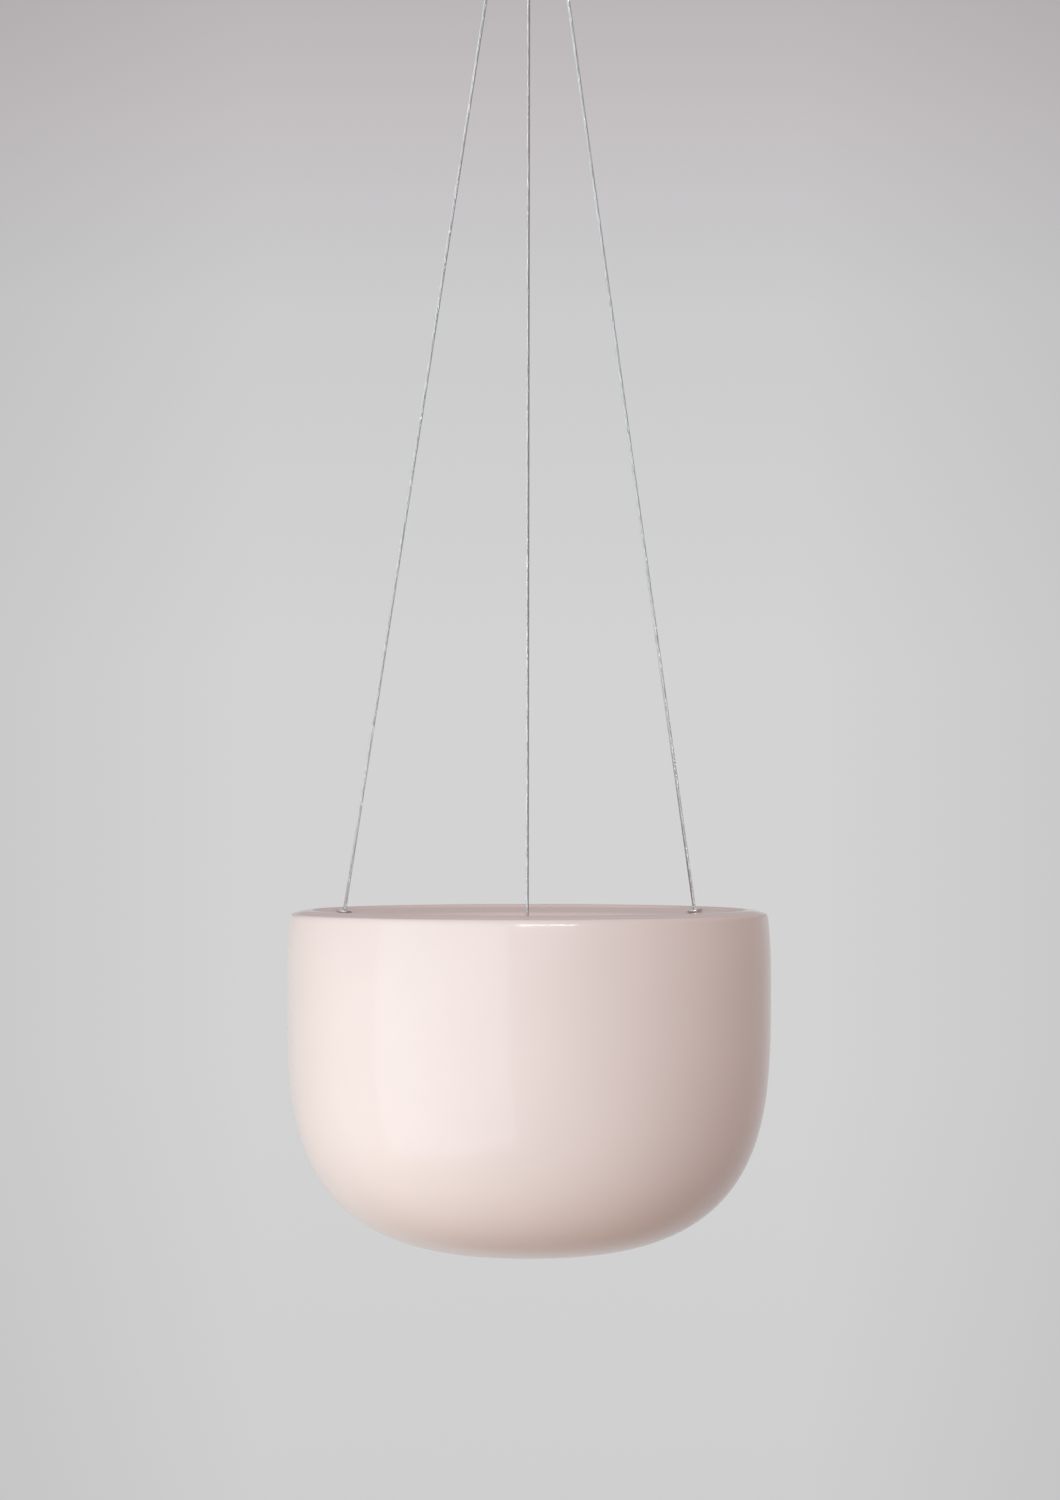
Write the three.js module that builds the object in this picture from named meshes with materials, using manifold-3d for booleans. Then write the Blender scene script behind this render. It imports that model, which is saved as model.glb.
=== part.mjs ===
// A hanging planter: a glazed ceramic bowl on three wire ropes, a hanging ring and a ceiling hook.
// Millimetres, +Z up. The origin is the centre of the hook plate's upper face, on the ceiling, and
// the front of the planter faces -Y.
import * as THREE from 'three';
import { mergeVertices } from 'three/addons/utils/BufferGeometryUtils.js';
import Module from 'manifold-3d';

const wasm = await Module();
wasm.setup();

// ---------- driving dimensions ----------

const seatGap = 0.3; // between faces that touch on the real planter
const runningGap = 0.3; // around what passes through a hole

// bowl: heights are from its rim edge, the crisp circle where the wall meets the top of the rim
const bowlRadius = 110;
const bowlHeight = 155.5;
const widestDepth = 26;
const bellyRoundness = 2.7; // exponent of the belly's outline across
const bellySquareness = 3.6; // exponent of the belly's outline downwards
const upperWallRadius = 210; // how slowly the wall leans in above its widest place
const wall = 5;
const floorThickness = 6.5;
const footRadius = 22;
const floorRadius = 32;
const rimInset = 3.4; // from the widest place in to the rim edge
const shoulderDrop = 4; // height of the rounded shoulder under the rim edge
const shoulderFullness = 0.35; // how near the shoulder's curve stays to the corner that it rounds
const crestInset = 7.1; // from the rim edge in to the crest, the rim's highest circle
const crestRise = 1.4;
const crestWidth = 3; // from the crest in to where the ledge starts
const flangeMargin = 0.2; // ledge that shows between an eyelet's flange and the crest's foot
const lipInset = 8.5; // from the holes' circle in to the mouth
const seatDrop = 0.8; // from the rim edge down to the ledge at the holes
const ledgeThickness = 6;
const innerFillet = 6;

// wires: holes on one circle, punched by hand a few degrees off an even third of a turn
const wires = [
  { name: 'front', azimuth: -90.5, ringPlace: 0 },
  { name: 'back_right', azimuth: 34, ringPlace: 1 },
  { name: 'back_left', azimuth: 157, ringPlace: -1 },
];
const wireDrop = 526; // from the ring's lowest wire down to the ledge
const wireDiameter = 1.5;
const wireTail = 2.5; // past the stop sleeve
const returnTail = 1.2; // past the loop sleeve
const strandGap = 0.3; // between the two strands in a loop sleeve
const eyeRadius = 4;
const eyeLeg = 15; // from the loop sleeve up to the round of the eye
const easeLength = 9; // in which the wire comes back to its line below a loop sleeve

// sleeves, eyelets and washers
const loopSleeveLength = 10;
const loopSleeveWall = 0.9;
const loopSleeveBevel = 0.35;
const stopSleeveLength = 8;
const stopSleeveDiameter = 4.4;
const stopSleeveChamfer = 0.3;
const crimpPlaces = [0.3, 0.7]; // along the sleeve
const crimpDepth = 0.4;
const crimpWidth = 1.2; // of a crimp's floor
const crimpRamp = 0.6; // along the sleeve, on each side of that floor
const eyeletFlangeDiameter = 7.6;
const eyeletFlangeHeight = 1.1;
const flangeRound = 0.65; // on the flange's upper edges
const flangeChamfer = 0.2; // on its lower edge
const eyeletBarrelDiameter = 4;
const eyeletShortfall = 0.8; // the barrel ends this far above the ledge's underside
const washerDiameter = 9;
const washerThickness = 1;

// ring, hook, ceiling plate and its screws
const ringBore = 20;
const ringWireDiameter = 3;
const loopSpare = 0.4; // between neighbouring loops, and between a loop and the ring
const hookWireDiameter = 4;
const hookBendRadius = 9;
const hookBlendRadius = 3;
const hookTipAngle = 160; // where the bend ends, counted from +Y
const shankShowing = 2;
const plateDiameter = 54;
const plateThickness = 3;
const plateEdgeRound = 2;
const bossDiameter = 12;
const bossHeight = 5;
const bossChamfer = 0.6;
const shankCover = 3.5; // metal left over the end of the hook's shank
const screwInset = 9; // from the plate's edge in to each screw
const screwDiameter = 3.5;
const screwHeadDiameter = 7;
const screwLength = 16;
const screwPoint = 4;

// ---------- sizes that follow ----------

const rimEdgeRadius = bowlRadius - rimInset;
const crestRadius = rimEdgeRadius - crestInset;
const ledgeStart = crestRadius - crestWidth;
const holeCircleRadius = ledgeStart - flangeMargin - eyeletFlangeDiameter / 2;
const mouthRadius = holeCircleRadius - lipInset;
const screwPlace = plateDiameter / 2 - screwInset;

const strandSpacing = wireDiameter + strandGap;
const wireBore = wireDiameter + 2 * runningGap;
const hookRadius = hookWireDiameter / 2;
const ringWireRadius = ringWireDiameter / 2;
const ringRadius = (ringBore + ringWireDiameter) / 2;

const shankEnd = -(plateThickness + bossHeight + shankShowing);
const bendCentre = shankEnd - Math.sqrt(hookBendRadius ** 2 + 2 * hookBlendRadius * hookBendRadius);
const ringTop = bendCentre - hookBendRadius + hookRadius + ringWireRadius + seatGap;
const ringCentre = ringTop - ringRadius;
const ringBottom = ringCentre - ringRadius;

const eyeReach = ringWireRadius + wireDiameter / 2 + loopSpare; // from the ring's wire up to the eye's
const loopAngle = Math.asin((wireDiameter + loopSpare) / (ringRadius - eyeReach));

const ledgeSlope = Math.atan2(holeCircleRadius, wireDrop); // the ledge lies square to the wires
const seatHeight = ringBottom - wireDrop;
const rimHeight = seatHeight + seatDrop;

// ---------- helpers ----------

function toSolid(geometry) {
  const bare = geometry.clone();
  bare.deleteAttribute('normal');
  bare.deleteAttribute('uv');
  const merged = mergeVertices(bare);
  const corners = [];
  for (let i = 0; i < merged.index.count; i += 3) {
    const [a, b, c] = [0, 1, 2].map((k) => merged.index.getX(i + k));
    if (a !== b && b !== c && c !== a) corners.push(a, b, c);
  }
  const vertProperties = new Float32Array(merged.attributes.position.array);
  const triVerts = new Uint32Array(corners);
  return new wasm.Manifold(new wasm.Mesh({ numProp: 3, vertProperties, triVerts }));
}

function toGeometry(solid) {
  const { vertProperties, triVerts } = solid.getMesh();
  const geometry = new THREE.BufferGeometry();
  geometry.setAttribute('position', new THREE.BufferAttribute(new Float32Array(vertProperties), 3));
  geometry.setIndex(new THREE.BufferAttribute(new Uint32Array(triVerts), 1));
  geometry.computeVertexNormals();
  return geometry;
}

// Turns an outline of [radius, height] points about the Z axis.
function revolve(outline, segments) {
  const points = outline.map(([r, z]) => new THREE.Vector2(r, z));
  return new THREE.LatheGeometry(points, segments).rotateX(Math.PI / 2);
}

// The same for an outline that goes round a bore, so it closes on itself.
function revolveTube(outline, segments) {
  return revolve([...outline, outline[0]], segments);
}

function cylinder(radius, bottom, top, sides) {
  const geometry = new THREE.CylinderGeometry(radius, radius, top - bottom, sides);
  return geometry.rotateX(Math.PI / 2).translate(0, 0, (top + bottom) / 2);
}

// Points on a circle from one angle to another, in degrees, both ends included.
function arc([x, y], radius, from, to, steps) {
  const points = [];
  for (let i = 0; i <= steps; i += 1) {
    const angle = THREE.MathUtils.degToRad(from + ((to - from) * i) / steps);
    points.push([x + radius * Math.cos(angle), y + radius * Math.sin(angle)]);
  }
  return points;
}

// Points along a Bezier curve through its control points, without its first point.
function bezier(controls, steps) {
  const at = controls.map(([x, y]) => new THREE.Vector2(x, y));
  const curve = at.length === 3 ? new THREE.QuadraticBezierCurve(...at) : new THREE.CubicBezierCurve(...at);
  return curve.getPoints(steps).slice(1).map((p) => [p.x, p.y]);
}

function circleShape(radius, sides) {
  const corners = arc([0, 0], radius, 0, 360, sides).slice(0, -1);
  return new THREE.Shape(corners.map((p) => new THREE.Vector2(...p)));
}

// A flat route in the YZ plane through given stations, so that each step falls where it is wanted.
class Route extends THREE.Curve {
  constructor(stations) {
    super();
    this.stations = stations;
  }

  getUtoTmapping(u) {
    return u;
  }

  getPoint(t, target = new THREE.Vector3()) {
    const place = t * (this.stations.length - 1);
    const i = Math.min(Math.floor(place), this.stations.length - 2);
    const [[y0, z0], [y1, z1]] = [this.stations[i], this.stations[i + 1]];
    return target.set(0, THREE.MathUtils.lerp(y0, y1, place - i), THREE.MathUtils.lerp(z0, z1, place - i));
  }

  // The mean direction of the two steps that meet at a station, which keeps the tube's rings square.
  getTangent(t, target = new THREE.Vector3()) {
    const last = this.stations.length - 1;
    const i = Math.round(t * last);
    const [[y0, z0], [y1, z1]] = [this.stations[Math.max(i - 1, 0)], this.stations[Math.min(i + 1, last)]];
    return target.set(0, y1 - y0, z1 - z0).normalize();
  }
}

function tubeAlong(stations, radius, sides) {
  const options = { steps: stations.length - 1, extrudePath: new Route(stations), bevelEnabled: false };
  return new THREE.ExtrudeGeometry(circleShape(radius, sides), options);
}

const glaze = { color: 0xe9d6d0, roughness: 0.28, metalness: 0 };
const steel = { color: 0xb9b9b8, roughness: 0.32, metalness: 1 };
const polished = { color: 0xd6d6d4, roughness: 0.18, metalness: 1 };
const aluminium = { color: 0xc4c5c6, roughness: 0.45, metalness: 1 };

function piece(name, geometry, look) {
  const mesh = new THREE.Mesh(geometry, new THREE.MeshStandardMaterial(look));
  mesh.name = name;
  return mesh;
}

// ---------- the line of each wire ----------

// A frame at the middle of a wire's loop on the ring: Z runs up the wire and X along the ring.
function wireFrame({ azimuth, ringPlace }) {
  const place = ringPlace * loopAngle;
  const top = new THREE.Vector3(Math.sin(place), 0, -Math.cos(place)).multiplyScalar(ringRadius);
  top.z += ringCentre;
  const turn = THREE.MathUtils.degToRad(azimuth);
  const foot = new THREE.Vector3(Math.cos(turn), Math.sin(turn), 0).multiplyScalar(holeCircleRadius);
  foot.z = seatHeight;
  const up = top.clone().sub(foot);
  const length = up.length();
  up.normalize();
  const alongRing = new THREE.Vector3(Math.cos(place), 0, Math.sin(place));
  const x = alongRing.addScaledVector(up, -alongRing.dot(up)).normalize();
  const y = new THREE.Vector3().crossVectors(up, x);
  const matrix = new THREE.Matrix4().makeBasis(x, y, up).setPosition(top);
  return { matrix, length };
}

// ---------- bowl ----------

// Half the belly's outline, from its widest place down to a flat of the given radius.
function belly(radius, bottom, flatRadius, steps) {
  const crowding = 1.8; // draws the points towards the widest place, where the outline turns fastest
  const end = Math.acos((flatRadius / radius) ** (bellyRoundness / 2));
  const depth = (bottom - widestDepth) / Math.sin(end) ** (2 / bellySquareness);
  const points = [];
  for (let i = 0; i <= steps; i += 1) {
    const t = end * (i / steps) ** crowding;
    const drop = depth * Math.sin(t) ** (2 / bellySquareness);
    points.push([radius * Math.cos(t) ** (2 / bellyRoundness), -widestDepth - drop]);
  }
  return points;
}

// The wall above the widest place, from there up to a given height under the rim edge.
function upperWall(radius, drop, steps) {
  const points = [];
  for (let i = 1; i <= steps; i += 1) {
    const above = ((widestDepth - drop) * i) / steps;
    points.push([radius - above ** 2 / (2 * upperWallRadius), above - widestDepth]);
  }
  return points;
}

function bowlOutline() {
  const slope = Math.tan(ledgeSlope);
  const ledgeTop = (r) => -seatDrop + (r - holeCircleRadius) * slope;
  const ledgeUnder = (r) => ledgeTop(r) - ledgeThickness / Math.cos(ledgeSlope);
  const outerWall = upperWall(bowlRadius, shoulderDrop, 3);
  const shoulder = outerWall[outerWall.length - 1];
  const overShoulder = [shoulder[0], -shoulderDrop * shoulderFullness];
  const edge = [rimEdgeRadius, 0];
  const crest = [crestRadius, crestRise];
  const overEdge = [THREE.MathUtils.lerp(rimEdgeRadius, crestRadius, 0.3), crestRise * 0.6];
  const beforeCrest = [THREE.MathUtils.lerp(rimEdgeRadius, crestRadius, 0.65), crestRise];
  const crestMiddle = crestRadius - crestWidth / 2;
  const lipMiddle = mouthRadius + ledgeThickness / 2;
  const lipCentre = [lipMiddle, (ledgeTop(lipMiddle) + ledgeUnder(lipMiddle)) / 2];
  const tilt = 90 + THREE.MathUtils.radToDeg(ledgeSlope);
  const innerRadius = bowlRadius - wall;
  const filletDrop = -ledgeUnder(innerRadius) + innerFillet;
  const innerWall = upperWall(innerRadius, filletDrop, 2).reverse();
  const corner = [innerWall[0][0], ledgeUnder(innerWall[0][0])];
  const filletStart = corner[0] - innerFillet;
  return [
    [0, -bowlHeight],
    ...belly(bowlRadius, bowlHeight, footRadius, 15).reverse(),
    ...outerWall,
    ...bezier([shoulder, overShoulder, edge], 4),
    ...bezier([edge, overEdge, beforeCrest, crest], 3),
    ...bezier([crest, [crestMiddle, crestRise], [crestMiddle, ledgeTop(crestMiddle)],
      [ledgeStart, ledgeTop(ledgeStart)]], 4),
    ...arc(lipCentre, ledgeThickness / 2, tilt, tilt + 180, 6),
    [filletStart, ledgeUnder(filletStart)],
    ...bezier([[filletStart, ledgeUnder(filletStart)], corner, innerWall[0]], 3),
    ...innerWall.slice(1),
    ...belly(innerRadius, bowlHeight - floorThickness, floorRadius, 12),
    [0, floorThickness - bowlHeight],
  ];
}

function planterBowl() {
  let solid = toSolid(revolve(bowlOutline(), 52).translate(0, 0, rimHeight));
  const holeRadius = eyeletBarrelDiameter / 2 + runningGap;
  for (const wire of wires) {
    const { matrix, length } = wireFrame(wire);
    const cutter = cylinder(holeRadius, -length - 2 * ledgeThickness, -length + ledgeThickness, 16);
    solid = solid.subtract(toSolid(cutter.applyMatrix4(matrix)));
  }
  return piece('planter_bowl', toGeometry(solid), glaze);
}

// ---------- wires and what is on them, in a wire's own frame ----------

function smoothStep(from, to, steps, [start, end]) {
  const points = [];
  for (let i = 1; i <= steps; i += 1) {
    const t = i / steps;
    points.push([from + (to - from) * t * t * (3 - 2 * t), start + (end - start) * t]);
  }
  return points;
}

const eyeCentre = eyeReach - eyeRadius;
const loopSleeveTop = eyeCentre - eyeLeg;
const loopSleeveBottom = loopSleeveTop - loopSleeveLength;

// Where the pieces stacked under and on the ledge start, down from the ledge's upper face.
const washerTop = -ledgeThickness - seatGap;
const stopSleeveTop = washerTop - washerThickness - seatGap;
const wireEnd = stopSleeveTop - stopSleeveLength - wireTail;

function wireRope(name, length) {
  const half = strandSpacing / 2;
  const bottom = wireEnd - length;
  const easeStart = loopSleeveBottom - easeLength;
  const straightSteps = 12;
  const stations = [];
  for (let i = 0; i <= straightSteps; i += 1) {
    stations.push([0, bottom + ((easeStart - bottom) * i) / straightSteps]);
  }
  stations.push(
    ...smoothStep(0, half, 5, [easeStart, loopSleeveBottom]),
    [half, loopSleeveTop],
    ...smoothStep(half, eyeRadius, 6, [loopSleeveTop, eyeCentre]),
    ...arc([0, eyeCentre], eyeRadius, 0, 180, 10).slice(1),
    ...smoothStep(-eyeRadius, -half, 6, [eyeCentre, loopSleeveTop]),
    [-half, loopSleeveBottom - returnTail],
  );
  return piece(name, tubeAlong(stations, wireDiameter / 2, 8), steel);
}

// A flat oval of two half circles, as an outline of a sleeve or of the bore for two strands.
function ovalPoints(radius, spacing, steps) {
  const right = arc([spacing / 2, 0], radius, -90, 90, steps);
  const left = arc([-spacing / 2, 0], radius, 90, 270, steps);
  return [...right, ...left].map((p) => new THREE.Vector2(...p));
}

function loopSleeve(name) {
  const bore = wireBore / 2;
  const outside = bore + loopSleeveWall - loopSleeveBevel;
  const shape = new THREE.Shape(ovalPoints(outside, strandSpacing, 7));
  shape.holes.push(new THREE.Path(ovalPoints(bore + loopSleeveBevel, strandSpacing, 7).reverse()));
  const geometry = new THREE.ExtrudeGeometry(shape, {
    depth: loopSleeveLength - 2 * loopSleeveBevel,
    bevelThickness: loopSleeveBevel,
    bevelSize: loopSleeveBevel,
    bevelSegments: 2,
  });
  geometry.rotateZ(Math.PI / 2).translate(0, 0, loopSleeveBottom + loopSleeveBevel);
  return piece(name, geometry, aluminium);
}

// A flanged eyelet that lines the hole, so that the wire never rubs on the glaze.
function eyelet(name, length) {
  const bore = wireBore / 2;
  const barrel = eyeletBarrelDiameter / 2;
  const flange = eyeletFlangeDiameter / 2;
  const roundHeight = seatGap + eyeletFlangeHeight - flangeRound;
  const outline = [
    [bore, eyeletShortfall - ledgeThickness],
    [barrel, eyeletShortfall - ledgeThickness],
    [barrel, seatGap],
    [flange - flangeChamfer, seatGap],
    [flange, seatGap + flangeChamfer],
    ...arc([flange - flangeRound, roundHeight], flangeRound, 0, 90, 3),
    ...arc([bore + flangeRound, roundHeight], flangeRound, 90, 180, 3),
  ];
  return piece(name, revolveTube(outline, 16).translate(0, 0, -length), polished);
}

function washer(name, length) {
  const bore = wireBore / 2;
  const outside = washerDiameter / 2;
  const outline = [
    [bore, washerTop - washerThickness],
    [outside, washerTop - washerThickness],
    [outside, washerTop],
    [bore, washerTop],
  ];
  return piece(name, revolveTube(outline, 16).translate(0, 0, -length), polished);
}

// A round sleeve crimped in two places. It carries the bowl's weight to the wire.
function stopSleeve(name, length) {
  const bore = wireBore / 2;
  const outside = stopSleeveDiameter / 2;
  const bottom = stopSleeveTop - stopSleeveLength;
  const chamfer = stopSleeveChamfer;
  const pressed = outside - crimpDepth;
  const reach = crimpWidth / 2 + crimpRamp;
  const crimps = crimpPlaces.flatMap((share) => {
    const middle = bottom + stopSleeveLength * share;
    return [
      [outside, middle - reach],
      [pressed, middle - crimpWidth / 2],
      [pressed, middle + crimpWidth / 2],
      [outside, middle + reach],
    ];
  });
  const outline = [
    [bore, bottom],
    [outside - chamfer, bottom],
    [outside, bottom + chamfer],
    ...crimps,
    [outside, stopSleeveTop - chamfer],
    [outside - chamfer, stopSleeveTop],
    [bore, stopSleeveTop],
  ];
  return piece(name, revolveTube(outline, 12).translate(0, 0, -length), aluminium);
}

function suspension(wire) {
  const { matrix, length } = wireFrame(wire);
  const group = new THREE.Group();
  group.applyMatrix4(matrix);
  group.add(
    wireRope(`wire_${wire.name}`, length),
    loopSleeve(`loop_sleeve_${wire.name}`),
    eyelet(`eyelet_${wire.name}`, length),
    washer(`washer_${wire.name}`, length),
    stopSleeve(`stop_sleeve_${wire.name}`, length),
  );
  return group;
}

// ---------- ring, hook and ceiling plate ----------

function hangingRing() {
  const geometry = new THREE.TorusGeometry(ringRadius, ringWireRadius, 12, 36);
  return piece('hanging_ring', geometry.rotateX(Math.PI / 2).translate(0, 0, ringCentre), polished);
}

// An open hook bent from round wire: a shank, a short blend and most of a circle, in the YZ plane.
function ceilingHook() {
  const blendEnd = THREE.MathUtils.radToDeg(Math.acos(hookBlendRadius / (hookBlendRadius + hookBendRadius)));
  const bend = arc([0, bendCentre], hookBendRadius, blendEnd, hookTipAngle - 360, 26);
  const stations = [
    [0, -shankCover - seatGap],
    ...arc([hookBlendRadius, shankEnd], hookBlendRadius, 180, 180 + blendEnd, 5),
    ...bend.slice(1),
  ];
  const [tipY, tipZ] = bend[bend.length - 1];
  const roundTip = new THREE.SphereGeometry(hookRadius, 12, 8).translate(0, tipY, tipZ);
  const solid = toSolid(tubeAlong(stations, hookRadius, 10)).add(toSolid(roundTip));
  return piece('ceiling_hook', toGeometry(solid), steel);
}

function ceilingPlate() {
  const rim = plateDiameter / 2;
  const bore = hookRadius + runningGap;
  const boss = bossDiameter / 2;
  const bossEnd = -plateThickness - bossHeight;
  const outline = [
    [0, -shankCover],
    [bore, -shankCover],
    [bore, bossEnd],
    [boss - bossChamfer, bossEnd],
    [boss, bossEnd + bossChamfer],
    [boss, -plateThickness],
    ...arc([rim - plateEdgeRound, plateEdgeRound - plateThickness], plateEdgeRound, -90, 0, 4),
    [rim, 0],
    [0, 0],
  ];
  const shank = screwDiameter / 2 + runningGap;
  const head = screwHeadDiameter / 2 + runningGap;
  const pastPlate = 1; // how far the cutter reaches beyond each face
  const countersink = [
    [0, -plateThickness - pastPlate],
    [head, -plateThickness - pastPlate],
    [head, -plateThickness],
    [shank, head - shank - plateThickness],
    [shank, pastPlate],
    [0, pastPlate],
  ];
  let solid = toSolid(revolve(outline, 36));
  for (const side of [-1, 1]) {
    const cutter = revolve(countersink, 20).translate(side * screwPlace, 0, 0);
    solid = solid.subtract(toSolid(cutter));
  }
  return piece('ceiling_plate', toGeometry(solid), steel);
}

// A countersunk screw, head down, whose point goes up into the ceiling.
function plateScrew(name, side) {
  const head = screwHeadDiameter / 2;
  const shank = screwDiameter / 2;
  const outline = [
    [0, -plateThickness],
    [head, -plateThickness],
    [shank, head - shank - plateThickness],
    [shank, screwLength - plateThickness - screwPoint],
    [0, screwLength - plateThickness],
  ];
  return piece(name, revolve(outline, 16).translate(side * screwPlace, 0, 0), steel);
}

// ---------- the planter ----------

const planter = new THREE.Group();
planter.add(
  ceilingPlate(),
  plateScrew('plate_screw_left', -1),
  plateScrew('plate_screw_right', 1),
  ceilingHook(),
  hangingRing(),
  ...wires.map(suspension),
  planterBowl(),
);

export default planter;
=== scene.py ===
# The looks of a hanging planter: a pink glazed bowl on three wire ropes, a hanging ring and an open
# ceiling hook. Metres, +Z up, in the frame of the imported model: the origin is on the ceiling and the
# front of the planter faces -Y.
import math

import bmesh
import bpy
from mathutils import Matrix, Vector


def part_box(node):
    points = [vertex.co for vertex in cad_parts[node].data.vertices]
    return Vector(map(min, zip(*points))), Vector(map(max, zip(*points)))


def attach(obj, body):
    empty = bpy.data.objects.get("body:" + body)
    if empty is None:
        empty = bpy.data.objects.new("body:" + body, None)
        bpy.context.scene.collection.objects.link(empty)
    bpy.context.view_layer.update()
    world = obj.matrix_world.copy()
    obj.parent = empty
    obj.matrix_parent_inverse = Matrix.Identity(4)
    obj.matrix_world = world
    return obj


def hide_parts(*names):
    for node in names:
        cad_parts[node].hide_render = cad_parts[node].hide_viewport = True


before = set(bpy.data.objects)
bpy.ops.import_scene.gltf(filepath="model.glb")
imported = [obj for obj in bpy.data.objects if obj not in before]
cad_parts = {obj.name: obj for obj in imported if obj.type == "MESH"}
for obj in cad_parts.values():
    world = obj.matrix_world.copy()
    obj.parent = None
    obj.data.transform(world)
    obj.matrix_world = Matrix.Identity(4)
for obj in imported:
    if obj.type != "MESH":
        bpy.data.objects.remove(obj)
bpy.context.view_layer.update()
scene = bpy.context.scene
scene.view_settings.view_transform = "Standard"

# ---------- sizes, as the model has them ----------

SEAT_GAP = 0.0003
RUNNING_GAP = 0.0003

BOWL_RADIUS = 0.110
BOWL_HEIGHT = 0.1555
WIDEST_DEPTH = 0.026
BELLY_ROUNDNESS = 2.7
BELLY_SQUARENESS = 3.6
UPPER_WALL_RADIUS = 0.210
WALL = 0.005
FLOOR_THICKNESS = 0.0065
FOOT_RADIUS = 0.022
INNER_FLOOR_RADIUS = 0.032
RIM_INSET = 0.0034
CREST_INSET = 0.0071
CREST_RISE = 0.0014
CREST_WIDTH = 0.003
FLANGE_MARGIN = 0.0002
LIP_INSET = 0.0085
SEAT_DROP = 0.0008
LEDGE_THICKNESS = 0.006
INNER_FILLET = 0.006

WIRES = (("front", -90.5, 0), ("back_right", 34, 1), ("back_left", 157, -1))
WIRE_DROP = 0.526
WIRE_DIAMETER = 0.0015
WIRE_TAIL = 0.0025
RETURN_TAIL = 0.0012
STRAND_GAP = 0.0003
EYE_RADIUS = 0.004
EYE_LEG = 0.015
EASE_LENGTH = 0.009
LOOP_SPARE = 0.0004

LOOP_SLEEVE_LENGTH = 0.010
LOOP_SLEEVE_WALL = 0.0009
LOOP_SLEEVE_BEVEL = 0.00035
STOP_SLEEVE_LENGTH = 0.008
STOP_SLEEVE_DIAMETER = 0.0044
STOP_SLEEVE_CHAMFER = 0.0003
CRIMP_PLACES = (0.3, 0.7)
CRIMP_DEPTH = 0.0004
CRIMP_WIDTH = 0.0012
CRIMP_RAMP = 0.0006
EYELET_FLANGE_DIAMETER = 0.0076
EYELET_FLANGE_HEIGHT = 0.0011
FLANGE_ROUND = 0.00065
FLANGE_CHAMFER = 0.0002
EYELET_BARREL_DIAMETER = 0.004
EYELET_SHORTFALL = 0.0008
WASHER_DIAMETER = 0.009
WASHER_THICKNESS = 0.001

HOOK_WIRE_DIAMETER = 0.004
HOOK_BEND_RADIUS = 0.009
HOOK_BLEND_RADIUS = 0.003
HOOK_TIP_ANGLE = 160
SHANK_SHOWING = 0.002
SHANK_COVER = 0.0035
PLATE_THICKNESS = 0.003
PLATE_EDGE_ROUND = 0.002
BOSS_DIAMETER = 0.012
BOSS_HEIGHT = 0.005
BOSS_CHAMFER = 0.0006
SCREW_INSET = 0.009
SCREW_DIAMETER = 0.0035
SCREW_HEAD_DIAMETER = 0.007
SCREW_LENGTH = 0.016
SCREW_POINT = 0.004

# ---------- sizes that only the looks have ----------

STRANDS = 6  # of a wire rope, round a straight core strand
LAY_LENGTH = 0.0098  # along the rope, for one turn of a strand
STRAND_SIDES = 8
STEPS_PER_TURN = 14
PRESS_PLACES = (0.2, 0.5, 0.8)  # of the pressed bands on a loop sleeve, along it
PRESS_DEPTH = 0.00018
PRESS_WIDTH = 0.0017
PRESS_STEEPNESS = 1.6  # more than 1 leaves the middle of a pressed band flat
WASHER_ROUND = 0.0002
BAND_DROP = 0.0024  # of the soft crease under the rim, which catches a thin highlight
BAND_LEAN = math.radians(10.5)  # of the band between that crease and the rim's corner
BAND_ROUND = 0.0004
CORNER_DROP = 0.0006  # the reach of the handles at the rim's outer corner
CORNER_REACH = 0.0012
EDGE_HANDLE = (0.3, 0.6)  # of the rise from rim to crest: shares of its way in and of its rise
CREST_HANDLE = 0.65  # of the same rise, where it levels out: a share of its way in
PLATE_ROUND_STEPS = 10
SCREWS = (("left", -1, 0.4), ("right", 1, 1.1))  # name, side, and how far each is turned in radians
SCREW_HEAD_CHAMFER = 0.0002
THREAD_PITCH = 0.0014
THREAD_DEPTH = 0.00045
RIDGE_SHARE = 0.32  # half the width of the thread's ridge, as a share of the pitch
POINT_FULLNESS = 1.2  # how soon the screw is full behind its point
POINT_BLUNTNESS = 0.02
RECESS_WIDTH = 0.0011  # of each slot of the cross in a screw's head
RECESS_SPAN = 0.0038
RECESS_DEPTH = 0.0013
RECESS_TAPER = 0.45  # a slot's length at its deep end, as a share of its length at the head's face
CUTTER_SPARE = 0.001  # how far a slot's cutter stands out of the head

BOWL_SEGMENTS = 288
HOLE_SEGMENTS = 40
PLATE_SEGMENTS = 160
SINK_SEGMENTS = 48
SCREW_SEGMENTS = 48
SCREW_STEPS = 150  # along the thread
RING_SEGMENTS = 128
RING_WIRE_SIDES = 28
HOOK_WIRE_SIDES = 32
STOP_SLEEVE_SEGMENTS = 48
SLEEVE_STEPS = 60  # along a sleeve's pressed or crimped side
FITTING_SEGMENTS = 56  # of an eyelet or washer

# ---------- sizes that follow ----------

ring_low, ring_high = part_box("hanging_ring")
RING_WIRE_RADIUS = (ring_high.y - ring_low.y) / 2
RING_CENTRE = (ring_high.z + ring_low.z) / 2
RING_RADIUS = (ring_high.z - ring_low.z) / 2 - RING_WIRE_RADIUS
PLATE_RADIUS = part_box("ceiling_plate")[1].x

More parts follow.
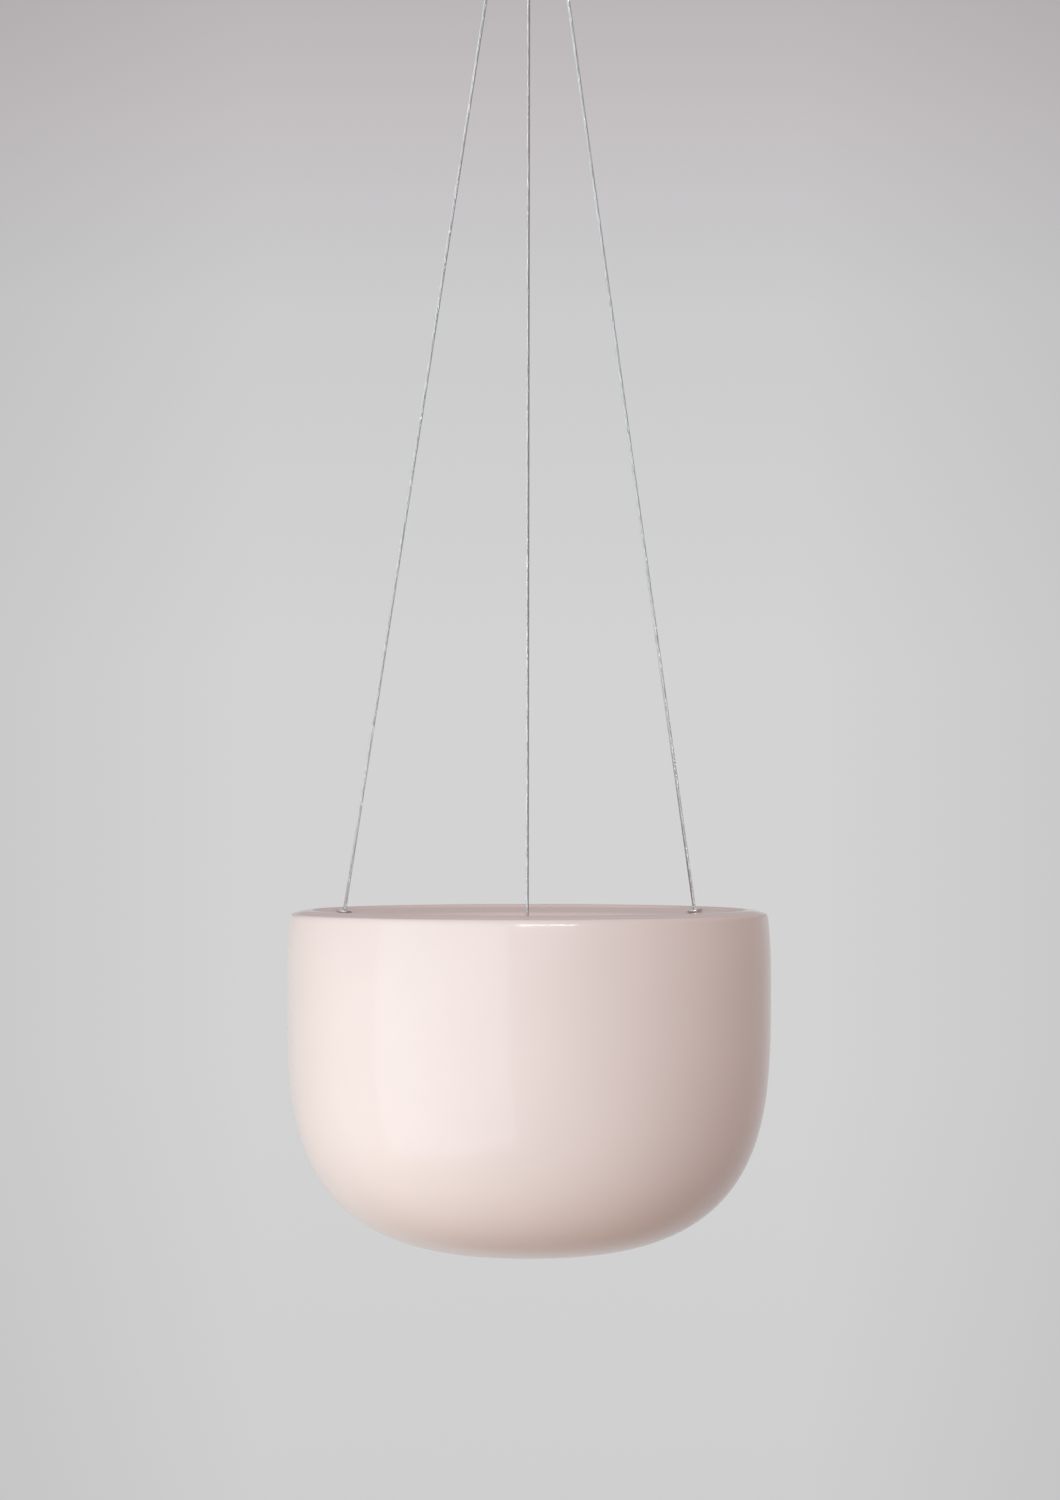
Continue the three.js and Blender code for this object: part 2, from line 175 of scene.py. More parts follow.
RIM_EDGE_RADIUS = BOWL_RADIUS - RIM_INSET
CREST_RADIUS = RIM_EDGE_RADIUS - CREST_INSET
LEDGE_START = CREST_RADIUS - CREST_WIDTH
HOLE_CIRCLE_RADIUS = LEDGE_START - FLANGE_MARGIN - EYELET_FLANGE_DIAMETER / 2
MOUTH_RADIUS = HOLE_CIRCLE_RADIUS - LIP_INSET
LEDGE_SLOPE = math.atan2(HOLE_CIRCLE_RADIUS, WIRE_DROP)
SEAT_HEIGHT = RING_CENTRE - RING_RADIUS - WIRE_DROP
RIM_HEIGHT = SEAT_HEIGHT + SEAT_DROP

STRAND_SPACING = WIRE_DIAMETER + STRAND_GAP
WIRE_BORE = WIRE_DIAMETER + 2 * RUNNING_GAP
EYE_REACH = RING_WIRE_RADIUS + WIRE_DIAMETER / 2 + LOOP_SPARE
LOOP_ANGLE = math.asin((WIRE_DIAMETER + LOOP_SPARE) / (RING_RADIUS - EYE_REACH))
EYE_CENTRE = EYE_REACH - EYE_RADIUS
LOOP_SLEEVE_TOP = EYE_CENTRE - EYE_LEG
LOOP_SLEEVE_BOTTOM = LOOP_SLEEVE_TOP - LOOP_SLEEVE_LENGTH
WASHER_TOP = -LEDGE_THICKNESS - SEAT_GAP
STOP_SLEEVE_TOP = WASHER_TOP - WASHER_THICKNESS - SEAT_GAP
WIRE_END = STOP_SLEEVE_TOP - STOP_SLEEVE_LENGTH - WIRE_TAIL

SHANK_END = -(PLATE_THICKNESS + BOSS_HEIGHT + SHANK_SHOWING)
BEND_CENTRE = SHANK_END - math.sqrt(HOOK_BEND_RADIUS**2 + 2 * HOOK_BLEND_RADIUS * HOOK_BEND_RADIUS)
HOOK_RADIUS = HOOK_WIRE_DIAMETER / 2
SCREW_PLACE = PLATE_RADIUS - SCREW_INSET

# ---------- camera ----------

PIXELS_WIDE, PIXELS_HIGH = 1060, 1500
SENSOR = 36  # millimetres, along the image's long side
CAMERA_DISTANCE = 2.75
METRES_PER_PIXEL = 2 * BOWL_RADIUS / 484
RIM_ROW = 912.7  # of the rim edge's left and right ends
AXIS_COLUMN = 529.0  # of the bowl's axis


def make_camera():
    """A level camera, as far away as the rim's thin ellipse asks for."""
    data = bpy.data.cameras.new("camera")
    data.sensor_width = SENSOR
    data.lens = SENSOR * CAMERA_DISTANCE / METRES_PER_PIXEL / PIXELS_HIGH
    camera = bpy.data.objects.new("camera", data)
    scene.collection.objects.link(camera)
    across = (PIXELS_WIDE / 2 - AXIS_COLUMN) * METRES_PER_PIXEL
    above_rim = (RIM_ROW - PIXELS_HIGH / 2) * METRES_PER_PIXEL
    camera.location = (across, -CAMERA_DISTANCE, RIM_HEIGHT + above_rim)
    camera.rotation_euler = (math.radians(90), 0, 0)
    scene.camera = camera


make_camera()

# ---------- outlines ----------


def arc(centre, radius, start, end, steps):
    """Points on a circle from one angle to another, in degrees, both ends included."""
    angles = [math.radians(start + (end - start) * i / steps) for i in range(steps + 1)]
    return [(centre[0] + radius * math.cos(a), centre[1] + radius * math.sin(a)) for a in angles]


def bezier(controls, steps):
    """Points along a Bezier curve through its control points, without its first point."""
    points = []
    for i in range(1, steps + 1):
        level = [Vector(c) for c in controls]
        while len(level) > 1:
            level = [a.lerp(b, i / steps) for a, b in zip(level, level[1:])]
        points.append(tuple(level[0]))
    return points


def smooth(t):
    t = min(max(t, 0), 1)
    return t * t * (3 - 2 * t)


# ---------- meshes ----------


def new_object(name, data):
    made = bpy.data.objects.new(name, data)
    scene.collection.objects.link(made)
    return made


def object_from(name, points, faces, matrix=None, uvs=None):
    """A smooth mesh object. uvs is one (u, v) for each corner of each face, in order."""
    mesh = bpy.data.meshes.new(name)
    mesh.from_pydata([tuple(p) for p in points], [], faces)
    if uvs:
        layer = mesh.uv_layers.new(name="UVMap")
        layer.data.foreach_set("uv", [value for uv in uvs for value in uv])
    if matrix:
        mesh.transform(matrix)
    mesh.polygons.foreach_set("use_smooth", [True] * len(mesh.polygons))
    mesh.update()
    return new_object(name, mesh)


def skin(rings, close=False):
    """Quads, or triangles at a pole, between rings of point numbers that are all as long."""
    if close:
        rings = [*rings, rings[0]]
    faces = []
    for lower, upper in zip(rings, rings[1:]):
        for i in range(len(lower)):
            j = (i + 1) % len(lower)
            corners = [lower[i], lower[j], upper[j], upper[i]]
            face = [c for k, c in enumerate(corners) if c not in corners[:k]]
            if len(face) > 2:
                faces.append(face)
    return faces


def revolve(name, outline, segments, matrix=None, closed=False, swell=None):
    """Turns an outline of (radius, height) points about Z. A closed one goes round a bore.
    swell(height, turn) is added to the radius."""
    points, rings = [], []
    for radius, height in outline:
        if radius < 1e-9:
            rings.append([len(points)] * segments)
            points.append((0, 0, height))
            continue
        rings.append(list(range(len(points), len(points) + segments)))
        for i in range(segments):
            turn = 2 * math.pi * i / segments
            r = radius + (swell(height, turn) if swell else 0)
            points.append((r * math.cos(turn), r * math.sin(turn), height))
    return crisp_edges(object_from(name, points, skin(rings, closed), matrix))


def crisp_edges(obj, degrees=32):
    """Turns all faces outwards and keeps edges sharper than this crisp."""
    work = bmesh.new()
    work.from_mesh(obj.data)
    bmesh.ops.recalc_face_normals(work, faces=work.faces)
    for edge in work.edges:
        if len(edge.link_faces) == 2:
            edge.smooth = edge.calc_face_angle(0) < math.radians(degrees)
    work.to_mesh(obj.data)
    work.free()
    return obj


def tube(name, path, radii, sides, matrix=None):
    """A tube through 3-D points with a radius at each, and flat ends."""
    points, rings = [], []
    across = Vector((1, 0, 0))
    for i, at in enumerate(path):
        along = (path[min(i + 1, len(path) - 1)] - path[max(i - 1, 0)]).normalized()
        across = (across - along * across.dot(along)).normalized()
        side = along.cross(across)
        rings.append(list(range(len(points), len(points) + sides)))
        for k in range(sides):
            turn = 2 * math.pi * k / sides
            points.append(at + (across * math.cos(turn) + side * math.sin(turn)) * radii[i])
    faces = [*skin(rings), rings[0][::-1], rings[-1]]
    return crisp_edges(object_from(name, points, faces, matrix))


def cut(obj, *cutters):
    """Cuts closed meshes out of another one."""
    for cutter in cutters:
        modifier = obj.modifiers.new("cut", "BOOLEAN")
        modifier.operation = "DIFFERENCE"
        modifier.solver = "EXACT"
        modifier.object = cutter
    evaluated = obj.evaluated_get(bpy.context.evaluated_depsgraph_get())
    mesh = bpy.data.meshes.new_from_object(evaluated)
    obj.modifiers.clear()
    obj.data = mesh
    for cutter in cutters:
        bpy.data.objects.remove(cutter)
    return obj


# ---------- the wires' lines ----------


def wire_frame(azimuth, ring_place):
    """A frame at the middle of a wire's loop on the ring: Z runs up the wire and X along the ring."""
    place = ring_place * LOOP_ANGLE
    top = Vector((math.sin(place), 0, -math.cos(place))) * RING_RADIUS + Vector((0, 0, RING_CENTRE))
    turn = math.radians(azimuth)
    foot = Vector((math.cos(turn), math.sin(turn), 0)) * HOLE_CIRCLE_RADIUS
    foot.z = SEAT_HEIGHT
    up = top - foot
    length = up.length
    up.normalize()
    x = Vector((math.cos(place), 0, math.sin(place)))
    x = (x - up * x.dot(up)).normalized()
    matrix = Matrix((x, up.cross(x), up)).transposed().to_4x4()
    matrix.translation = top
    return matrix, length


def ease(start, end, steps, z_start, z_end):
    """A sideways move along the wire that starts and ends straight, without its first point."""
    shares = [i / steps for i in range(1, steps + 1)]
    return [(start + (end - start) * smooth(t), z_start + (z_end - z_start) * t) for t in shares]


def wire_path(length, straight_step=0.004):
    """The wire's centreline: up from its lower end, round the ring and back to its short end."""
    half = STRAND_SPACING / 2
    bottom = WIRE_END - length
    ease_start = LOOP_SLEEVE_BOTTOM - EASE_LENGTH
    straight = ease(0, 0, round((ease_start - bottom) / straight_step), bottom, ease_start)
    flat = [
        (0, bottom),
        *straight,
        *ease(0, half, 8, ease_start, LOOP_SLEEVE_BOTTOM),
        *ease(half, half, 5, LOOP_SLEEVE_BOTTOM, LOOP_SLEEVE_TOP),
        *ease(half, EYE_RADIUS, 14, LOOP_SLEEVE_TOP, EYE_CENTRE),
        *arc((0, EYE_CENTRE), EYE_RADIUS, 0, 180, 20)[1:],
        *ease(-EYE_RADIUS, -half, 14, EYE_CENTRE, LOOP_SLEEVE_TOP),
        *ease(-half, -half, 6, LOOP_SLEEVE_TOP, LOOP_SLEEVE_BOTTOM - RETURN_TAIL),
    ]
    return [Vector((0, y, z)) for y, z in flat]


def even_steps(path, step):
    """Evenly spaced points on a path, the direction at each, and the spacing."""
    lengths = [(b - a).length for a, b in zip(path, path[1:])]
    count = round(sum(lengths) / step)
    spacing = sum(lengths) / count
    points, passed, i = [], 0, 0
    for k in range(count + 1):
        target = min(k * spacing, sum(lengths) - 1e-9)
        while passed + lengths[i] < target:
            passed += lengths[i]
            i += 1
        points.append(path[i].lerp(path[i + 1], (target - passed) / lengths[i]))
    ends = [(points[max(k - 1, 0)], points[min(k + 1, count)]) for k in range(count + 1)]
    return points, [(b - a).normalized() for a, b in ends], spacing


# ---------- wire rope and what is on it ----------


def strand_points(centre, directions, spacing, offset, phase):
    """Rings of points round one strand, which circles the rope's centreline at this offset."""
    radius = WIRE_DIAMETER / 6
    lean = math.atan2(2 * math.pi * offset, LAY_LENGTH)
    level = Vector((1, 0, 0))  # each wire's line lies in a plane square to this
    for k, (at, along) in enumerate(zip(centre, directions)):
        side = along.cross(level)
        turn = 2 * math.pi * (k * spacing / LAY_LENGTH + phase)
        out = level * math.cos(turn) + side * math.sin(turn)
        across = along.cross(out) * math.cos(lean) - along * math.sin(lean)
        for s in range(STRAND_SIDES):
            around = 2 * math.pi * s / STRAND_SIDES
            yield at + out * (offset + radius * math.cos(around)) + across * radius * math.sin(around)


def wire_rope(name, path, matrix):
    """Strands laid round a core, as one mesh. U runs round each strand and V along it."""
    centre, directions, spacing = even_steps(path, LAY_LENGTH / STEPS_PER_TURN)
    lay = [(WIRE_DIAMETER / 3, strand / STRANDS) for strand in range(STRANDS)]
    points, faces, uvs = [], [], []
    for offset, phase in [*lay, (0, 0)]:
        first = len(points)
        points += strand_points(centre, directions, spacing, offset, phase)
        rings = [list(range(first + k * STRAND_SIDES, first + (k + 1) * STRAND_SIDES))
                 for k in range(len(centre))]
        faces += [*skin(rings), rings[0][::-1], rings[-1]]
        for k in range(len(centre) - 1):
            low, high = k * spacing / LAY_LENGTH, (k + 1) * spacing / LAY_LENGTH
            for s in range(STRAND_SIDES):
                u, w = s / STRAND_SIDES, (s + 1) / STRAND_SIDES
                uvs += [(u, low), (w, low), (w, high), (u, high)]
        uvs += [(0, 0)] * (2 * STRAND_SIDES)
    return object_from(name, points, faces, matrix, uvs)


def oval(radius, height):
    """A flat oval round two strands side by side in Y, at one height."""
    half = STRAND_SPACING / 2
    ends = arc((half, 0), radius, -90, 90, 16) + arc((-half, 0), radius, 90, 270, 16)
    return [(-y, x, height) for x, y in ends]


def pressed(place):
    """How deep a loop sleeve is pressed in at this share of its length."""
    reach = PRESS_WIDTH / LOOP_SLEEVE_LENGTH / 2
    nearest = min(abs(place - press) for press in PRESS_PLACES)
    return PRESS_DEPTH * smooth(PRESS_STEEPNESS * (1 - nearest / reach))


def loop_sleeve(name, matrix):
    """An oval sleeve over both strands, pressed in three bands."""
    bore = WIRE_BORE / 2
    outside = bore + LOOP_SLEEVE_WALL
    bevel = LOOP_SLEEVE_BEVEL
    low, high = LOOP_SLEEVE_BOTTOM, LOOP_SLEEVE_TOP
    places = [i / SLEEVE_STEPS for i in range(SLEEVE_STEPS + 1)]
    body = [(outside - pressed(p), low + bevel + (high - low - 2 * bevel) * p) for p in places]
    section = [
        *arc((bore + bevel, low + bevel), bevel, 180, 270, 4),
        *arc((outside - bevel, low + bevel), bevel, 270, 355, 4),
        *body,
        *arc((outside - bevel, high - bevel), bevel, 5, 90, 4),
        *arc((bore + bevel, high - bevel), bevel, 90, 180, 4),
    ]
    points = [point for radius, height in section for point in oval(radius, height)]
    count = len(oval(outside, 0))
    rings = [list(range(k * count, (k + 1) * count)) for k in range(len(section))]
    return crisp_edges(object_from(name, points, skin(rings, close=True), matrix))


def stop_sleeve(name, matrix):
    """A round sleeve crimped in two places."""
    bore, outside = WIRE_BORE / 2, STOP_SLEEVE_DIAMETER / 2
    bottom, top = STOP_SLEEVE_TOP - STOP_SLEEVE_LENGTH, STOP_SLEEVE_TOP
    chamfer = STOP_SLEEVE_CHAMFER

    def crimp(height):
        away = min(abs(height - bottom - STOP_SLEEVE_LENGTH * place) for place in CRIMP_PLACES)
        return CRIMP_DEPTH * smooth(1 - (away - CRIMP_WIDTH / 2) / CRIMP_RAMP)

    side = STOP_SLEEVE_LENGTH - 2 * chamfer
    heights = [bottom + chamfer + side * i / SLEEVE_STEPS for i in range(SLEEVE_STEPS + 1)]
    outline = [
        (bore, bottom),
        *arc((outside - chamfer, bottom + chamfer), chamfer, 270, 350, 3),
        *[(outside - crimp(height), height) for height in heights],
        *arc((outside - chamfer, top - chamfer), chamfer, 10, 90, 3),
        (bore, top),
    ]
    return revolve(name, outline, STOP_SLEEVE_SEGMENTS, matrix, closed=True)


def eyelet(name, matrix):
    """A flanged eyelet that lines the hole."""
    bore, barrel, flange = WIRE_BORE / 2, EYELET_BARREL_DIAMETER / 2, EYELET_FLANGE_DIAMETER / 2
    low = EYELET_SHORTFALL - LEDGE_THICKNESS
    round_height = SEAT_GAP + EYELET_FLANGE_HEIGHT - FLANGE_ROUND
    outline = [
        (bore, low),
        (barrel, low),
        (barrel, SEAT_GAP),
        (flange - FLANGE_CHAMFER, SEAT_GAP),
        (flange, SEAT_GAP + FLANGE_CHAMFER),
        *arc((flange - FLANGE_ROUND, round_height), FLANGE_ROUND, 0, 90, 10),
        *arc((bore + FLANGE_ROUND, round_height), FLANGE_ROUND, 90, 180, 10),
    ]
    return revolve(name, outline, FITTING_SEGMENTS, matrix, closed=True)


def washer(name, matrix):
    bore, outside, edge = WIRE_BORE / 2, WASHER_DIAMETER / 2, WASHER_ROUND
    low, high = WASHER_TOP - WASHER_THICKNESS, WASHER_TOP
    outline = [
        (bore, low),
        *arc((outside - edge, low + edge), edge, 270, 360, 4),
        *arc((outside - edge, high - edge), edge, 0, 90, 4),
        (bore, high),
    ]
    return revolve(name, outline, FITTING_SEGMENTS, matrix, closed=True)


# ---------- bowl ----------


def belly(radius, bottom, flat_radius, steps):
    """Half the belly's outline, from its widest place down to a flat of the given radius."""
    crowding = 1.8  # draws the points towards the widest place, where the outline turns fastest
    end = math.acos((flat_radius / radius) ** (BELLY_ROUNDNESS / 2))
    depth = (bottom - WIDEST_DEPTH) / math.sin(end) ** (2 / BELLY_SQUARENESS)
    turns = [end * (i / steps) ** crowding for i in range(steps + 1)]
    return [(radius * math.cos(t) ** (2 / BELLY_ROUNDNESS),
             -WIDEST_DEPTH - depth * math.sin(t) ** (2 / BELLY_SQUARENESS)) for t in turns]


def upper_wall(radius, drop, steps):
    """The wall above the widest place, up to a height this far under the rim edge."""
    heights = [(WIDEST_DEPTH - drop) * i / steps for i in range(1, steps + 1)]
    return [(radius - h**2 / (2 * UPPER_WALL_RADIUS), h - WIDEST_DEPTH) for h in heights]


def ledge_top(radius):
    return -SEAT_DROP + (radius - HOLE_CIRCLE_RADIUS) * math.tan(LEDGE_SLOPE)


def ledge_under(radius):
    return ledge_top(radius) - LEDGE_THICKNESS / math.cos(LEDGE_SLOPE)


def along_ledge(surface, start, end, steps):
    """Points on the ledge between two radii, both left out."""
    radii = [start + (end - start) * i / steps for i in range(1, steps)]
    return [(radius, surface(radius)) for radius in radii]


def bowl_outline():
    outer_wall = upper_wall(BOWL_RADIUS, BAND_DROP + BAND_ROUND, 10)
    edge, crest = (RIM_EDGE_RADIUS, 0), (CREST_RADIUS, CREST_RISE)
    crease = upper_wall(BOWL_RADIUS, BAND_DROP, 1)[-1]

    def on_band(drop):
        return (crease[0] - (BAND_DROP - drop) * math.tan(BAND_LEAN), -drop)

    band_start = on_band(BAND_DROP - BAND_ROUND)
    over_corner = (RIM_EDGE_RADIUS + CORNER_REACH, 0)
    over_edge = (RIM_EDGE_RADIUS - CREST_INSET * EDGE_HANDLE[0], CREST_RISE * EDGE_HANDLE[1])
    before_crest = (RIM_EDGE_RADIUS - CREST_INSET * CREST_HANDLE, CREST_RISE)
    middle = CREST_RADIUS - CREST_WIDTH / 2
    ledge_edge = (LEDGE_START, ledge_top(LEDGE_START))
    lip = MOUTH_RADIUS + LEDGE_THICKNESS / 2
    lip_centre = (lip, (ledge_top(lip) + ledge_under(lip)) / 2)
    tilt = 90 + math.degrees(LEDGE_SLOPE)
    inner_radius = BOWL_RADIUS - WALL
    inner_wall = upper_wall(inner_radius, INNER_FILLET - ledge_under(inner_radius), 8)[::-1]
    corner = (inner_wall[0][0], ledge_under(inner_wall[0][0]))
    fillet_start = (corner[0] - INNER_FILLET, ledge_under(corner[0] - INNER_FILLET))
    return [
        (0, -BOWL_HEIGHT),
        *belly(BOWL_RADIUS, BOWL_HEIGHT, FOOT_RADIUS, 90)[::-1],
        *outer_wall,
        *bezier([outer_wall[-1], crease, band_start], 8),
        *bezier([band_start, on_band(CORNER_DROP), over_corner, edge], 20),
        *bezier([edge, over_edge, before_crest, crest], 10),
        *bezier([crest, (middle, CREST_RISE), (middle, ledge_top(middle)), ledge_edge], 12),
        *along_ledge(ledge_top, LEDGE_START, lip, 9),
        *arc(lip_centre, LEDGE_THICKNESS / 2, tilt, tilt + 180, 18),
        *along_ledge(ledge_under, lip, fillet_start[0], 9),
        fillet_start,
        *bezier([fillet_start, corner, inner_wall[0]], 10),
        *inner_wall[1:],
        *belly(inner_radius, BOWL_HEIGHT - FLOOR_THICKNESS, INNER_FLOOR_RADIUS, 60),
        (0, FLOOR_THICKNESS - BOWL_HEIGHT),
    ]


def planter_bowl(name):
    place = Matrix.Translation((0, 0, RIM_HEIGHT))
    bowl = revolve(name, bowl_outline(), BOWL_SEGMENTS, place)
    radius = EYELET_BARREL_DIAMETER / 2 + RUNNING_GAP
    reach = LEDGE_THICKNESS
    holes = []
    for _, azimuth, ring_place in WIRES:
        matrix, length = wire_frame(azimuth, ring_place)
        low, high = -length - 2 * reach, -length + reach
        outline = [(0, low), (radius, low), (radius, high), (0, high)]
        holes.append(revolve("hole", outline, HOLE_SEGMENTS, matrix))
    return cut(bowl, *holes)


# ---------- ring, hook and ceiling plate ----------

RING_PLANE = Matrix.Translation((0, 0, RING_CENTRE)) @ Matrix.Rotation(math.radians(90), 4, "X")


def hanging_ring(name):
    section = arc((RING_RADIUS, 0), RING_WIRE_RADIUS, 0, 360, RING_WIRE_SIDES)[:-1]
    return revolve(name, section, RING_SEGMENTS, RING_PLANE, closed=True)


def ceiling_hook(name):
    """Round wire bent to an open hook in the YZ plane, with a rounded tip."""
    blend_end = math.degrees(math.acos(HOOK_BLEND_RADIUS / (HOOK_BLEND_RADIUS + HOOK_BEND_RADIUS)))
    flat = [
        (0, -SHANK_COVER - SEAT_GAP),
        *arc((HOOK_BLEND_RADIUS, SHANK_END), HOOK_BLEND_RADIUS, 180, 180 + blend_end, 12),
        *arc((0, BEND_CENTRE), HOOK_BEND_RADIUS, blend_end, HOOK_TIP_ANGLE - 360, 72)[1:],
    ]
    path = [Vector((0, y, z)) for y, z in flat]
    radii = [HOOK_RADIUS] * len(path)
    tip, forward = path[-1], (path[-1] - path[-2]).normalized()
    for out, radius in arc((0, 0), HOOK_RADIUS, 90, 3, 10)[1:]:
        path.append(tip + forward * out)
        radii.append(radius)
    return tube(name, path, radii, HOOK_WIRE_SIDES)


def ceiling_plate(name):
    rim, boss, bore = PLATE_RADIUS, BOSS_DIAMETER / 2, HOOK_RADIUS + RUNNING_GAP
    boss_end = -PLATE_THICKNESS - BOSS_HEIGHT
    edge_centre = (rim - PLATE_EDGE_ROUND, PLATE_EDGE_ROUND - PLATE_THICKNESS)
    outline = [
        (0, -SHANK_COVER),
        (bore, -SHANK_COVER),
        (bore, boss_end),
        *arc((boss - BOSS_CHAMFER, boss_end + BOSS_CHAMFER), BOSS_CHAMFER, 270, 360, 6),
        (boss, -PLATE_THICKNESS),
        *arc(edge_centre, PLATE_EDGE_ROUND, -90, 0, PLATE_ROUND_STEPS),
        (rim, 0),
        (0, 0),
    ]
    shank, head = SCREW_DIAMETER / 2 + RUNNING_GAP, SCREW_HEAD_DIAMETER / 2 + RUNNING_GAP
    below, above = -2 * PLATE_THICKNESS, PLATE_THICKNESS
    countersink = [
        (0, below),
        (head, below),
        (head, -PLATE_THICKNESS),
        (shank, head - shank - PLATE_THICKNESS),
        (shank, above),
        (0, above),
    ]
    places = [Matrix.Translation((side * SCREW_PLACE, 0, 0)) for side in (-1, 1)]
    plate = revolve(name, outline, PLATE_SEGMENTS)
    return cut(plate, *[revolve("sink", countersink, SINK_SEGMENTS, place) for place in places])


def plate_screw(name, side, turn):
    """A countersunk wood screw, head down, with a thread and a cross recess."""
    head, shank = SCREW_HEAD_DIAMETER / 2, SCREW_DIAMETER / 2
    low, high = -PLATE_THICKNESS, SCREW_LENGTH - PLATE_THICKNESS
    neck = head - shank + low
    core = shank - THREAD_DEPTH
    point_start = high - SCREW_POINT
    heights = [neck + (high - neck) * i / SCREW_STEPS for i in range(1, SCREW_STEPS)]

    def body(height):
        return core * smooth((high - height) / SCREW_POINT * POINT_FULLNESS + POINT_BLUNTNESS)

    def thread(height, angle):
        if height <= neck:
            return 0
        place = (height / THREAD_PITCH - angle / (2 * math.pi)) % 1
        ridge = max(0, 1 - abs(place - 0.5) / RIDGE_SHARE)
        start = smooth((height - neck) / THREAD_PITCH)
        fade = 1 if height < point_start else smooth((high - height) / SCREW_POINT)
        return THREAD_DEPTH * ridge * start * fade

    outline = [
        (0, low),
        (head - SCREW_HEAD_CHAMFER, low),
        (head, low + SCREW_HEAD_CHAMFER),
        (core, neck),
        *[(body(height), height) for height in heights],
        (0, high),
    ]
    place = Matrix.Translation((side * SCREW_PLACE, 0, 0)) @ Matrix.Rotation(turn, 4, "Z")
    screw = revolve(name, outline, SCREW_SEGMENTS, place, swell=thread)
    slots = []
    for quarter in (0, math.pi / 2):
        half, wide, top = RECESS_SPAN / 2, RECESS_WIDTH / 2, low + RECESS_DEPTH
        narrow, outer = half * RECESS_TAPER, low - CUTTER_SPARE
        corners = [(-half, outer), (half, outer), (half, low), (narrow, top), (-narrow, top), (-half, low)]
        points = [(x, y, z) for y in (-wide, wide) for x, z in corners]
        count = len(corners)
        faces = [tuple(range(count))[::-1], tuple(range(count, 2 * count))]
        faces += [(i, (i + 1) % count, count + (i + 1) % count, count + i) for i in range(count)]
        slot = object_from("slot", points, faces, place @ Matrix.Rotation(quarter, 4, "Z"))
        slots.append(crisp_edges(slot))
    return cut(screw, *slots)


# ---------- materials ----------


# the setting with which a Math node gives the larger of its two values
HIGHEST = {"operation": "MAXIMUM"}


class Nodes:
    """A short way to write a node tree: each call makes a node and sets or links its named inputs."""

    def __init__(self, owner):
        owner.use_nodes = True
        self.tree = owner.node_tree
        self.tree.nodes.clear()

    def __call__(self, kind, settings=None, **inputs):
        node = self.tree.nodes.new("ShaderNode" + kind)
        for key, value in (settings or {}).items():
            setattr(node, key, value)
        for key, value in inputs.items():
            by_number = key[0] == "i" and key[1:].isdigit()
            socket = node.inputs[int(key[1:]) if by_number else key.replace("_", " ")]
            if isinstance(value, bpy.types.NodeSocket):
                self.tree.links.new(value, socket)
            else:
                socket.default_value = value
        return node

    def ramp(self, factor, *stops):
        node = self("ValToRGB", Fac=factor)
        elements = node.color_ramp.elements
        while len(elements) < len(stops):
            elements.new(0.5)
        for element, (position, colour) in zip(elements, stops):
            element.position = position
            element.color = (*colour[:3], 1)
        return node.outputs[0]

    def span(self, value, low, high, to_low, to_high):
        return self("MapRange", Value=value, From_Min=low, From_Max=high, To_Min=to_low,
                    To_Max=to_high).outputs[0]


def linear(*display):
    """A colour given as it shows, from 0 to 255, as the shaders' linear values."""
    shares = [value / 255 for value in display]
    return (*[s / 12.92 if s <= 0.04045 else ((s + 0.055) / 1.055) ** 2.4 for s in shares], 1)


def shaded(colour, factor):
    return tuple(channel * factor for channel in colour[:3])


def pink_glaze(name, colour):
    """A satin glaze: hardly uneven in colour, with a soft ripple and a fine orange peel."""
    material = bpy.data.materials.new(name)
    nodes = Nodes(material)
    place = nodes("TexCoord").outputs["Object"]
    broad = nodes("TexNoise", Vector=place, Scale=16.0, Detail=3.0).outputs["Fac"]
    uneven = nodes("Math", {"operation": "MULTIPLY_ADD"}, i0=broad, i1=0.4, i2=0.3).outputs[0]
    tint = nodes.ramp(uneven, (0.0, shaded(colour, 0.9)), (1.0, shaded(colour, 1.1)))
    peel = nodes("TexNoise", Vector=place, Scale=480.0, Detail=2.0).outputs["Fac"]
    ripple = nodes("TexNoise", Vector=place, Scale=45.0, Detail=1.0).outputs["Fac"]
    fine = nodes("Bump", Height=peel, Strength=0.05, Distance=0.0003).outputs[0]
    normal = nodes("Bump", Height=ripple, Strength=0.06, Distance=0.001, Normal=fine).outputs[0]
    # The gloss stays above 0.27 all over: where it would cross that, the render shows an edge.
    gloss = nodes.span(uneven, 0, 1, 0.24, 0.44)
    shader = nodes("BsdfPrincipled", Base_Color=tint, Roughness=gloss, Normal=normal, Coat_Weight=0.8,
                   Coat_Roughness=0.08, Coat_Normal=normal, Specular_IOR_Level=0.1)
    nodes("OutputMaterial", Surface=shader.outputs[0])
    return material


def metal(name, colour, roughness, relief, stretch):
    """A metal whose gloss, tint and fine relief vary with a noise, drawn out to brushing lines."""
    material = bpy.data.materials.new(name)
    nodes = Nodes(material)
    place = nodes("TexCoord").outputs["Object"]
    drawn = nodes("Mapping", Vector=place, Scale=stretch).outputs[0]
    grain = nodes("TexNoise", Vector=drawn, Scale=1.0, Detail=4.0).outputs["Fac"]
    tint = nodes.ramp(grain, (0.3, shaded(colour, 0.9)), (0.7, shaded(colour, 1.05)))
    gloss = nodes.span(grain, 0.3, 0.7, roughness * 0.8, roughness * 1.25)
    bump = nodes("Bump", Height=grain, Strength=relief, Distance=0.0001).outputs[0]
    shader = nodes("BsdfPrincipled", Base_Color=tint, Metallic=1.0, Roughness=gloss, Normal=bump)
    nodes("OutputMaterial", Surface=shader.outputs[0])
    return material


